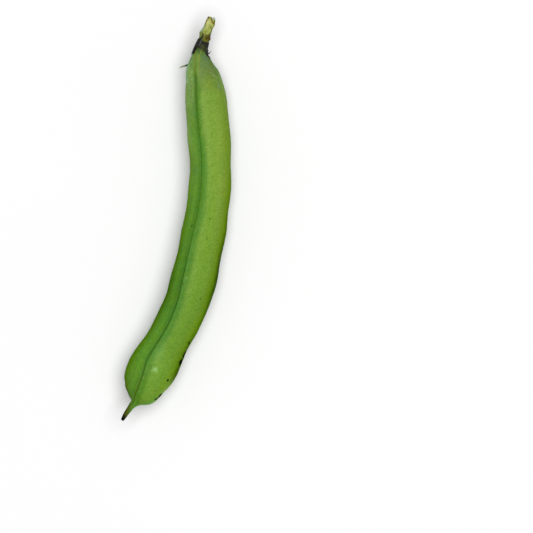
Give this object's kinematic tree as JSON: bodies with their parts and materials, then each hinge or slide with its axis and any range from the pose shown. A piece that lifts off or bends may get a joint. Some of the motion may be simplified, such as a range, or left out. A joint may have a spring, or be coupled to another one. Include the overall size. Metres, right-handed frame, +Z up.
{
  "type": "broad bean pod",
  "caption": "Long green broad bean pod as picked, lying with its seam up, with a curved body, a beak, the withered calyx and a torn stalk stub.",
  "frame": {"origin": "on the surface that the pod lies on, under the middle of the whole object's box", "axes": "+Y along the pod from the beak towards the stalk, +Z up, the way that the inner seam faces, +X to the right of someone looking down on it with the stalk at the top"},
  "size_m": [0.0505, 0.1855, 0.0255],
  "materials": {
    "pod_skin": "fresh green pod skin with a soft satin gloss, yellower on the upper valve and blue-green towards the neck, with small brown specks",
    "withered_calyx": "dry black-brown withered sepals, matt",
    "stalk": "pale yellow-green torn fibres with brown edges, matt"
  },
  "bodies": {
    "root": {"pod": "pod_skin", "calyx": "withered_calyx", "stalk": "stalk"}
  },
  "joints": []
}
